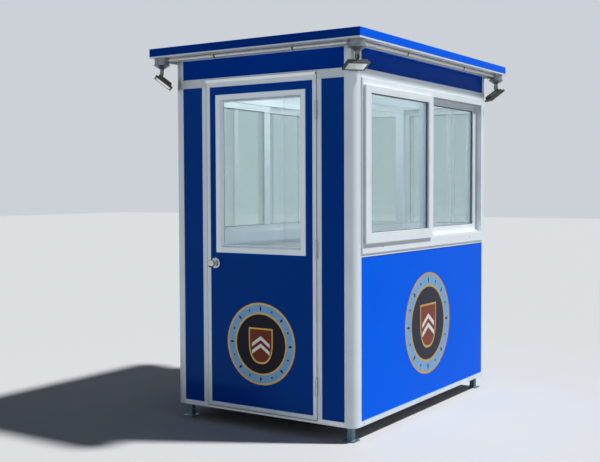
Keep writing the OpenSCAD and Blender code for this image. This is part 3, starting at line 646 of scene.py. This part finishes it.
def add_screw(mesh, matrix, radius, height):
    """Pan head with a hexagonal socket, standing on z = 0."""
    hexagon = turns(6)
    sides = 2 * len(hexagon)
    reach = SOCKET_SHARE * radius

    def circle(r, z):
        return [matrix @ Vector((r * math.cos(a), r * math.sin(a), z)) for a in turns(sides)]

    corners = [Vector((reach * math.cos(a), reach * math.sin(a), 0.0)) for a in hexagon]
    rim = []
    for here, after in zip(corners, corners[1:] + corners[:1]):
        rim += [here, (here + after) / 2]
    top = [matrix @ (p + Vector((0.0, 0.0, height))) for p in rim]
    deep = [matrix @ (p + Vector((0.0, 0.0, SOCKET_FLOOR * height))) for p in rim]
    dome = [circle(r * radius, z * height) for r, z in SCREW_DOME]
    add_rings(mesh, dome + [top, deep], True)


def piece(name, body, material, build, edge=FINE_EDGE):
    """A new piece from a function that fills a mesh; it rides on a body."""
    mesh = bmesh.new()
    build(mesh)
    bmesh.ops.recalc_face_normals(mesh, faces=mesh.faces)
    data = bpy.data.meshes.new(name)
    mesh.to_mesh(data)
    mesh.free()
    data.materials.append(material)
    obj = bpy.data.objects.new(name, data)
    bpy.context.scene.collection.objects.link(obj)
    data.shade_smooth()
    bevel = obj.modifiers.new("edge", "BEVEL")
    bevel.width = edge
    bevel.segments = 2
    bevel.limit_method = "ANGLE"
    bevel.angle_limit = math.radians(EDGE_ANGLE)
    obj.modifiers.new("normals", "WEIGHTED_NORMAL")
    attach(obj, body)


# Seals

def add_pane_seal(mesh, matrix, lo, hi, width, thick):
    """Wedge strips on both faces of a pane, along the edge of what holds it."""
    lo, hi = box_in(matrix, lo, hi)
    inner_lo = lo + Vector((GLASS_BITE, 0.0, GLASS_BITE))
    inner_hi = hi - Vector((GLASS_BITE, 0.0, GLASS_BITE))
    for face, out in ((lo.y, -1), (hi.y, 1)):
        section = [(across * width, face + out * proud * thick) for across, proud in WEDGE]
        add_loop(mesh, matrix, inner_lo, inner_hi, section)


def add_panel_seal(mesh, matrix, lo, hi):
    """Rounded bead of sealant round the outer face of a panel."""
    lo, hi = box_in(matrix, lo, hi)
    add_loop(mesh, matrix, lo, hi, [(across, lo.y - proud) for across, proud in BEAD])


def wall_of(lo, hi):
    """Side of the booth that a long box in the wall belongs to."""
    middle = (lo + hi) / 2
    if hi.x - lo.x > hi.y - lo.y:
        return "front" if middle.y < 0 else "rear"
    return "left" if middle.x < 0 else "right"


def make_seals():
    for side in GLAZED:
        def panes(mesh, side=side):
            for lo, hi in solids(f"{side}_window_glass"):
                add_pane_seal(mesh, wall_matrix(side), lo, hi, SEAL_W, SEAL_T)
        piece(f"{side}_window_seals", "booth", GREY_SEAL, panes)
    piece("door_window_trim", "door", ALUMINIUM_BRIGHT,
          lambda mesh: add_pane_seal(mesh, FRONT, *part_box("door_glass"), DOOR_TRIM_W, DOOR_TRIM_T))
    piece("door_panel_seal", "door", BLUE_SEAL,
          lambda mesh: add_panel_seal(mesh, FRONT, *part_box("door_panel")))

    def panels(mesh):
        for name in ("front_left_panel", "front_right_panel"):
            add_panel_seal(mesh, FRONT, *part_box(name))
        for side in GLAZED:
            add_panel_seal(mesh, wall_matrix(side), *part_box(f"{side}_lower_panel"))
        for lo, hi in solids("top_panels"):
            add_panel_seal(mesh, wall_matrix(wall_of(lo, hi)), lo, hi)
    piece("panel_seals", "booth", BLUE_SEAL, panels)


# Roundels: generic discs on the door and on the right wall

def add_disc(mesh, matrix, r0, r1, y, thick):
    """Flat ring between two radii, or a disc where r0 is 0, standing on the plane y."""
    def circle(r, depth):
        return [matrix @ Vector((r * math.cos(a), depth, r * math.sin(a))) for a in turns(DISC_SIDES)]

    if r0 > 0:
        add_rings(mesh, [circle(r1, y), circle(r1, y - thick), circle(r0, y - thick), circle(r0, y)], False)
    else:
        add_rings(mesh, [circle(r1, y), circle(r1, y - thick)], True)


def add_plate(mesh, matrix, outline, size, y, thick):
    """Flat plate of a convex outline in x and z, scaled by a size and standing on the plane y."""
    rings = [[matrix @ Vector((size * x, depth, size * z)) for x, z in outline] for depth in (y, y - thick)]
    add_rings(mesh, rings, True)


def shield():
    """Outline of a plain shield of about unit height: flat head, straight cheeks and a rounded point."""
    half, head, point, fullness = 0.42, 0.46, 0.58, 0.8
    bend = [math.radians(10 * i) for i in range(1, 9)]
    right = [(half, head), (half, 0.0)]
    right += [(half * math.cos(t) ** fullness, -point * math.sin(t)) for t in bend]
    return right + [(0.0, -point)] + [(-x, z) for x, z in right[::-1]]


def make_roundel(name, body, matrix, radius, face):
    """A gold rim, a pale band with plain marks, and a dark field with a shield and two chevrons."""
    rim_in, ring_out, ring_in = RIM_IN * radius, RING_OUT * radius, RING_IN * radius

    def gold(mesh):
        add_disc(mesh, matrix, rim_in, radius, face, 3 * FILM_T)
        add_disc(mesh, matrix, ring_in, ring_out, face, 3 * FILM_T)
        add_plate(mesh, matrix, shield(), SHIELD_EDGE * radius, face - FILM_T, 2 * FILM_T)

    def band(mesh):
        add_disc(mesh, matrix, ring_out, rim_in, face, 2 * FILM_T)

    def field(mesh):
        add_disc(mesh, matrix, 0.0, ring_in, face, 2 * FILM_T)
        for i, a in enumerate(turns(MARKS)):
            reach = MARK_REACH * radius
            at = matrix @ Matrix.Translation((reach * math.cos(a), face, reach * math.sin(a)))
            length = MARK_SHORT if i % 2 else MARK_LONG
            lozenge = [(length, 0.0), (0.0, MARK_SHORT), (-length, 0.0), (0.0, -MARK_SHORT)]
            add_plate(mesh, at @ Matrix.Rotation(-a, 4, "Y"), lozenge, radius, -FILM_T, 2 * FILM_T)

    def charge(mesh):
        add_plate(mesh, matrix, shield(), SHIELD_SIZE * radius, face - 2 * FILM_T, 2 * FILM_T)

    def chevrons(mesh):
        for rise in CHEVRON_RISES:
            for sx in (-1, 1):
                arm = [(0.0, rise), (0.0, rise + CHEVRON_T),
                       (sx * CHEVRON_W, rise - CHEVRON_T), (sx * CHEVRON_W, rise - 2 * CHEVRON_T)]
                add_plate(mesh, matrix, arm, radius, face - 3 * FILM_T, 2 * FILM_T)

    for part, tone, build in (("gold", ROUNDEL_GOLD, gold), ("band", ROUNDEL_PALE, band),
                              ("field", ROUNDEL_DARK, field), ("shield", ROUNDEL_RUSSET, charge),
                              ("chevrons", ROUNDEL_WHITE, chevrons)):
        piece(f"{name}_{part}", body, tone, build, FILM_EDGE)


def make_roundels():
    door_face = box_in(FRONT, *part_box("door_panel"))[0].y
    door_at = FRONT @ Matrix.Translation((0.0, 0.0, DOOR_ROUNDEL_Z))
    make_roundel("door_roundel", "door", door_at, DOOR_ROUNDEL_R, door_face)
    right = wall_matrix("right")
    right_face = box_in(right, *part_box("right_lower_panel"))[0].y
    right_at = right @ Matrix.Translation((0.0, 0.0, RIGHT_ROUNDEL_Z))
    make_roundel("right_roundel", "booth", right_at, RIGHT_ROUNDEL_R, right_face)


# Door

def make_door_seals():
    """Weatherstrip and cover strip in the doorway, and the sweep under the leaf."""
    leaf_lo, leaf_hi = box_in(FRONT, *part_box("door_frame"))
    opening = -leaf_lo.x + DOOR_GAP
    head = leaf_hi.z + DOOR_GAP
    stop = leaf_hi.y + DOOR_GAP
    foot = leaf_lo.z + 2 * DOOR_GAP

    def weatherstrip(mesh):
        """Bulb seal along the stops of both jambs and of the head, just clear of the leaf."""
        lip = BULB[-1][0]
        for sx in (-1, 1):
            edge = sx * (opening - lip)
            add_rings(mesh, [[FRONT @ Vector((edge + sx * x, stop + y, z)) for x, y in BULB]
                             for z in (foot, head - BULB_END)], True)
        edge = head - lip
        add_rings(mesh, [[FRONT @ Vector((x, stop + y, edge + z)) for z, y in BULB]
                         for x in (-opening + BULB_END, opening - BULB_END)], True)
    piece("door_weatherstrip", "booth", PALE_SEAL, weatherstrip)

    def cover(mesh):
        """Metal strip on the latch jamb, close behind the faces, over half of the gap."""
        root, top = -opening - COVER_BITE, head - DOOR_GAP
        for width, near, far in COVER_STRIPS:
            add_box(mesh, FRONT, (root, near, foot), (-opening + width, far, top))
    piece("latch_cover_strip", "booth", ALUMINIUM_UPRIGHT, cover)

    def sweep(mesh):
        """Brush carrier under the leaf with a row of bristle tufts."""
        middle = (leaf_lo.y + leaf_hi.y) / 2
        end = leaf_hi.x - SWEEP_INSET
        add_box(mesh, FRONT, (-end, middle - CARRIER_Y, leaf_lo.z - CARRIER_DROP),
                (end, middle + CARRIER_Y, leaf_lo.z + CARRIER_BITE))
        for i in range(TUFTS):
            x = -end + 2 * end * (i + 0.5) / TUFTS
            add_box(mesh, FRONT, (x - TUFT_X, middle - TUFT_Y, leaf_lo.z - TUFT_FOOT),
                    (x + TUFT_X, middle + TUFT_Y, leaf_lo.z - TUFT_ROOT))
    piece("door_sweep", "door", RUBBER, sweep)


def make_latch():
    """Latch plate, strike plate and thumb turn, at the height of the knob."""
    leaf_lo, leaf_hi = box_in(FRONT, *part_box("door_frame"))
    knob_lo, knob_hi = box_in(FRONT, *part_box("door_knob"))
    knob_at = (knob_lo + knob_hi) / 2
    middle = (leaf_lo.y + leaf_hi.y) / 2
    to_jamb = Matrix.Rotation(math.radians(-90), 4, "Y")
    to_leaf = Matrix.Rotation(math.radians(90), 4, "Y")

    def latch(mesh):
        """Plate on the edge of the leaf with its two screws and the nose of the latch."""
        edge = FRONT @ Matrix.Translation((leaf_lo.x, middle, knob_at.z)) @ to_jamb
        add_box(mesh, edge, (-LATCH_X, -LATCH_Y, -LATCH_BITE), (LATCH_X, LATCH_Y, LATCH_T))
        add_lathe(mesh, edge, LATCH_NOSE, 20)
        for x in (-LATCH_SCREW_X, LATCH_SCREW_X):
            add_screw(mesh, edge @ Matrix.Translation((x, 0.0, LATCH_T)), *LATCH_SCREW)
    piece("latch_plate", "door", SCREW_STEEL, latch)

    def strike(mesh):
        """Plate on the jamb, a frame round the latch with two screws."""
        face = FRONT @ Matrix.Translation((leaf_lo.x - DOOR_GAP, middle, knob_at.z)) @ to_leaf
        ends = ((-STRIKE_X, -STRIKE_Y, -HOLE_X, STRIKE_Y), (HOLE_X, -STRIKE_Y, STRIKE_X, STRIKE_Y))
        cheeks = ((-HOLE_X, -STRIKE_Y, HOLE_X, -HOLE_Y), (-HOLE_X, HOLE_Y, HOLE_X, STRIKE_Y))
        for x0, y0, x1, y1 in ends + cheeks:
            add_box(mesh, face, (x0, y0, -STRIKE_BITE), (x1, y1, STRIKE_T))
        for x in (-STRIKE_SCREW_X, STRIKE_SCREW_X):
            add_screw(mesh, face @ Matrix.Translation((x, 0.0, STRIKE_T)), *STRIKE_SCREW)
    piece("strike_plate", "booth", SCREW_STEEL, strike)

    def thumb_turn(mesh):
        """Low collar and tapered grip on the inner knob."""
        at = FRONT @ Matrix.Translation((knob_at.x, knob_hi.y, knob_at.z)) @ INWARDS
        add_lathe(mesh, at, TURN_COLLAR, 24)
        add_rings(mesh, [[at @ Vector((x * share, y * share, z)) for x, y in TURN_GRIP]
                         for share, z in TURN_STEPS], True)
    piece("thumb_turn", "knob", SCREW_STEEL, thumb_turn, TURN_EDGE)


def make_hinge_screws():
    """Flat screw heads on the plates of the hinges, which face the gap."""
    hinges = solids("frame_hinge_leaves")
    frame_face = box_in(FRONT, *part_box("frame_hinge_leaves"))[1].x - HINGE_PLATE_T
    door_face = box_in(FRONT, *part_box("door_frame"))[1].x + HINGE_PLATE_T
    for body, name, face, turn in (("booth", "frame_hinge_screws", frame_face, -90),
                                   ("door", "door_hinge_screws", door_face, 90)):
        def fill(mesh, face=face, turn=turn):
            for lo, hi in hinges:
                middle = (lo.z + hi.z) / 2
                for dz, dy in HINGE_SCREW_AT:
                    at = FRONT @ Matrix.Translation((face, dy, middle + dz))
                    add_screw(mesh, at @ Matrix.Rotation(math.radians(turn), 4, "Y"), *HINGE_SCREW)
        piece(name, body, SCREW_STEEL, fill)


# Frame and legs

def make_frame_screws():
    """Screws along the rails under the soffit and along the base rails, clear of the doorway."""
    eave_z, base_z = [sum(p[2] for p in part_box(name)) / 2 for name in ("eave_rails", "base_frame")]
    post_lo, post_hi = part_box("corner_post_front_left")
    jamb_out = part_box("door_jamb_right")[1][0]

    def fill(mesh):
        for side in SIDES:
            reach = HALF_WIDTH if side in ("front", "rear") else HALF_DEPTH
            end = reach - (post_hi[0] - post_lo[0]) - RAIL_SCREW_END
            high = spread(-end, end, RAIL_SCREW_PITCH)
            low = [x for x in high if side != "front" or abs(x) > jamb_out]
            for x, z in [(x, eave_z) for x in high] + [(x, base_z) for x in low]:
                add_screw(mesh, wall_matrix(side) @ Matrix.Translation((x, 0.0, z)) @ OUTWARDS, *RAIL_SCREW)
    piece("frame_screws", "booth", SCREW_STEEL, fill)


def make_leg_welds():
    """Rippled weld fillets between the legs and their foot plates."""
    reach = LEG_W / 2 - LEG_R

    def ring(middle, grow, z):
        points = []
        for a in turns(24):
            sx, sy = math.copysign(1, math.cos(a)), math.copysign(1, math.sin(a))
            radius = LEG_R + grow + WELD_RIPPLE * math.sin(WELD_RIPPLES * a)
            points.append(Vector((middle.x + sx * reach + radius * math.cos(a),
                                  middle.y + sy * reach + radius * math.sin(a), z)))
        return points

    def fill(mesh):
        for lo, hi in solids("legs"):
            add_rings(mesh, [ring((lo + hi) / 2, grow, lo.z + FOOT_T + up) for grow, up in WELD], False)
    piece("leg_welds", "booth", SLOT_MATERIALS["leg_steel"], fill)


# Lighting

def lamp_matrix(lo, hi):
    """Frame on the front face of a lens: z outwards from it, y up its tilted face."""
    middle = (lo + hi) / 2
    sx, sy = math.copysign(1, middle.x), math.copysign(1, middle.y)
    tilt = LAMP_TILT_MORE if sx == sy else LAMP_TILT
    aimed = Matrix.Rotation(math.atan2(-sx, sy), 4, "Z") @ Matrix.Rotation(math.radians(tilt), 4, "X")
    return Matrix.Translation(middle) @ aimed @ Matrix.Translation((0.0, 0.0, -LENS_T / 2)) @ DOWNWARDS


def make_lamp_details():
    lamps = [lamp_matrix(lo, hi) for lo, hi in solids("floodlight_lenses")]

    def prisms(mesh):
        """Rows of low prisms on the lens."""
        pitch = 2 * LENS_Y / PRISMS
        half = PRISM_SHARE * pitch / 2
        for lamp in lamps:
            for i in range(PRISMS):
                y = -LENS_Y + pitch * (i + 0.5)
                ridge = [(y - half, -PRISM_BITE), (y + half, -PRISM_BITE), (y, PRISM_H)]
                add_rings(mesh, [[lamp @ Vector((x, a, b)) for a, b in ridge]
                                 for x in (-LENS_X, LENS_X)], True)
    piece("lens_prisms", "booth", SLOT_MATERIALS["lamp_lens"], prisms)

    def screws(mesh):
        """A screw at each corner of the bezel."""
        for lamp in lamps:
            for sx in (-1, 1):
                for sy in (-1, 1):
                    place = (sx * (LENS_X + BEZEL_SCREW_OUT), sy * (LENS_Y + BEZEL_SCREW_OUT), LENS_IN)
                    add_screw(mesh, lamp @ Matrix.Translation(place), *BEZEL_SCREW)
    piece("bezel_screws", "booth", SCREW_STEEL, screws)


def strap_places():
    """Each conduit strap: its frame, x along the tube from the tube's middle, and the height of its ears."""
    for lo, hi in solids("conduit"):
        middle = (lo + hi) / 2
        level = lo.z + STRAP_T + CONDUIT_R
        along_x = hi.x - lo.x > hi.y - lo.y
        length = hi.x - lo.x if along_x else hi.y - lo.y
        turn = Matrix.Rotation(math.radians(0 if along_x else 90), 4, "Z")
        run = Matrix.Translation((middle.x, middle.y, level)) @ turn
        for sx in (-1, 1):
            yield run @ Matrix.Translation((sx * length * STRAP_SHARE, 0.0, 0.0)), hi.z - level - STRAP_T


def make_strap_details():
    def screws(mesh):
        for strap, ear in strap_places():
            for sy in (-1, 1):
                at = strap @ Matrix.Translation((0.0, sy * (CONDUIT_R + STRAP_EAR), ear))
                add_screw(mesh, at @ DOWNWARDS, *STRAP_SCREW)
    piece("strap_screws", "booth", SCREW_STEEL, screws)

    def bands(mesh):
        """Dark band round each strap, from ear to ear: partly a coated band, partly painted shadow of the
        strap.
        """
        outer, inner = CONDUIT_R + STRAP_T + BAND_OUT, CONDUIT_R + STRAP_T - BAND_IN
        section = ((-BAND_X, outer), (BAND_X, outer), (BAND_X, inner), (-BAND_X, inner))
        arc = [math.radians(180 + 15 * i) for i in range(13)]
        for strap, ear in strap_places():
            path = [(-1.0, 0.0, ear)] + [(math.cos(a), math.sin(a), 0.0) for a in arc] + [(1.0, 0.0, ear)]
            add_rings(mesh, [[strap @ Vector((x, r * c, r * s + up)) for x, r in section]
                             for c, s, up in path], True)
    piece("strap_bands", "booth", STRAP_COAT_AND_SHADOW, bands)


# Roof

def make_roof_details():
    """Lapped seams across the roof sheet, and screws on washers along them and round the flange."""
    end_x, end_y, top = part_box("roof_cap")[1]
    sheet = top - CAP_STEP
    inner_x, inner_y = end_x - CAP_FLANGE, end_y - CAP_FLANGE
    seam_y = [inner_y * (2 * (i + 1) / (SEAMS + 1) - 1) for i in range(SEAMS)]

    def seams(mesh):
        for y in seam_y:
            add_rings(mesh, [[Vector((x, y + across, sheet + up)) for across, up in SEAM]
                             for x in (-inner_x - SEAM_END, inner_x + SEAM_END)], True)
    piece("roof_seams", "booth", SLOT_MATERIALS["roof_blue"], seams)

    def screws(mesh):
        mid_x, mid_y = end_x - CAP_FLANGE / 2, end_y - CAP_FLANGE / 2
        seam_top = sheet + max(up for across, up in SEAM)
        places = [(x, s * mid_y, top) for s in (-1, 1) for x in spread(-mid_x, mid_x, CAP_SCREW_PITCH)]
        places += [(s * mid_x, y, top) for s in (-1, 1) for y in spread(-mid_y, mid_y, CAP_SCREW_PITCH)[1:-1]]
        places += [(x, y, seam_top) for y in seam_y for x in spread(-inner_x, inner_x, CAP_SCREW_PITCH)[1:-1]]
        for place in places:
            at = Matrix.Translation(place)
            add_lathe(mesh, at, WASHER, 20)
            add_screw(mesh, at @ Matrix.Translation((0.0, 0.0, WASHER_SEAT)), *CAP_SCREW)
    piece("roof_screws", "booth", SCREW_STEEL, screws)


# Floor

def make_floor_lugs():
    """Raised lugs of the tread plate, each turned against its neighbours."""
    lo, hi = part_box("floor_deck")
    columns, rows = [int((hi[i] - lo[i]) / LUG_PITCH) - 1 for i in (0, 1)]

    def fill(mesh):
        for i in range(columns):
            for j in range(rows):
                x = (lo[0] + hi[0]) / 2 + (i - (columns - 1) / 2) * LUG_PITCH
                y = (lo[1] + hi[1]) / 2 + (j - (rows - 1) / 2) * LUG_PITCH
                turn = Matrix.Rotation(math.radians(45 if (i + j) % 2 else -45), 4, "Z")
                at = Matrix.Translation((x, y, hi[2])) @ turn
                add_rings(mesh, [[at @ Vector((a * share, b * share, z)) for a, b in LUG]
                                 for share, z in LUG_STEPS], True)
    piece("floor_lugs", "booth", SLOT_MATERIALS["floor_plate"], fill, LUG_EDGE)


# Stage

def seen_share(tree):
    """1 for camera, glossy and transmission rays, which show the stage as it is painted, and 0 for others."""
    path = node(tree, "ShaderNodeLightPath")
    value = path.outputs["Is Camera Ray"]
    for name in ("Is Glossy Ray", "Is Transmission Ray"):
        either = {0: value, 1: path.outputs[name]}
        value = node(tree, "ShaderNodeMath", either, operation="MAXIMUM").outputs[0]
    return value


def make_sky():
    world = bpy.data.worlds.new("studio")
    bpy.context.scene.world = world
    world.use_nodes = True
    tree = world.node_tree
    background = tree.nodes["Background"]
    fill = tuple(SKY_FILL * v for v in SKY_TINT)
    tree.links.new(mixed(tree, seen_share(tree), fill, BACKDROP), background.inputs["Color"])
    background.inputs["Strength"].default_value = 1.0


def make_floor():
    mesh = bmesh.new()
    bmesh.ops.create_grid(mesh, x_segments=8, y_segments=8, size=FLOOR_SIZE / 2)
    data = bpy.data.meshes.new("studio_floor")
    mesh.to_mesh(data)
    mesh.free()
    floor = bpy.data.objects.new("studio_floor", data)
    bpy.context.scene.collection.objects.link(floor)
    material, tree, shader = principled("studio_floor", FLOOR_SEEN, 0.9, Specular_IOR_Level=0.1)
    feed(tree, shader, "Base Color", mixed(tree, seen_share(tree), (FLOOR_BOUNCE,) * 3, FLOOR_SEEN))
    data.materials.append(material)


def make_key():
    key = bpy.data.lights.new("key", "SUN")
    key.energy = KEY_STRENGTH
    key.angle = math.radians(KEY_SOFTNESS)
    lamp = bpy.data.objects.new("key", key)
    azimuth, elevation = math.radians(KEY_AZIMUTH), math.radians(KEY_ELEVATION)
    towards = Vector((math.cos(elevation) * math.cos(azimuth), math.cos(elevation) * math.sin(azimuth),
                      math.sin(elevation)))
    lamp.rotation_euler = towards.to_track_quat("Z", "Y").to_euler()
    lamp.location = towards * KEY_DISTANCE
    bpy.context.scene.collection.objects.link(lamp)


def make_room_fill():
    """Soft panel of light under the ceiling, for the glow that comes in through the windows."""
    lo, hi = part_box("floor_deck")
    glow = bpy.data.lights.new("room_fill", "AREA")
    glow.energy = ROOM_FILL
    glow.shape = "RECTANGLE"
    glow.size = ROOM_FILL_SHARE * (hi[0] - lo[0])
    glow.size_y = ROOM_FILL_SHARE * (hi[1] - lo[1])
    lamp = bpy.data.objects.new("room_fill", glow)
    lamp.location = (0.0, 0.0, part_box("roof_panel")[0][2] - ROOM_FILL_DROP)
    lamp.visible_camera = False
    lamp.visible_glossy = False
    lamp.visible_transmission = False
    bpy.context.scene.collection.objects.link(lamp)


def make_camera():
    data = bpy.data.cameras.new("camera")
    data.lens = CAMERA_LENS
    data.sensor_width = SENSOR_WIDTH
    camera = bpy.data.objects.new("camera", data)
    turn = Matrix.Rotation(math.radians(CAMERA_YAW), 4, "Z")
    tilt = Matrix.Rotation(math.radians(90 + CAMERA_PITCH), 4, "X")
    roll = Matrix.Rotation(math.radians(CAMERA_ROLL), 4, "Z")
    camera.matrix_world = Matrix.Translation(CAMERA_AT) @ turn @ tilt @ roll
    bpy.context.scene.collection.objects.link(camera)
    bpy.context.scene.camera = camera


dress_nodes()
make_seals()
make_roundels()
make_door_seals()
make_latch()
make_hinge_screws()
make_frame_screws()
make_leg_welds()
make_lamp_details()
make_strap_details()
make_roof_details()
make_floor_lugs()
make_sky()
make_room_fill()
make_floor()
make_key()
make_camera()
bpy.context.scene.view_settings.view_transform = "Standard"
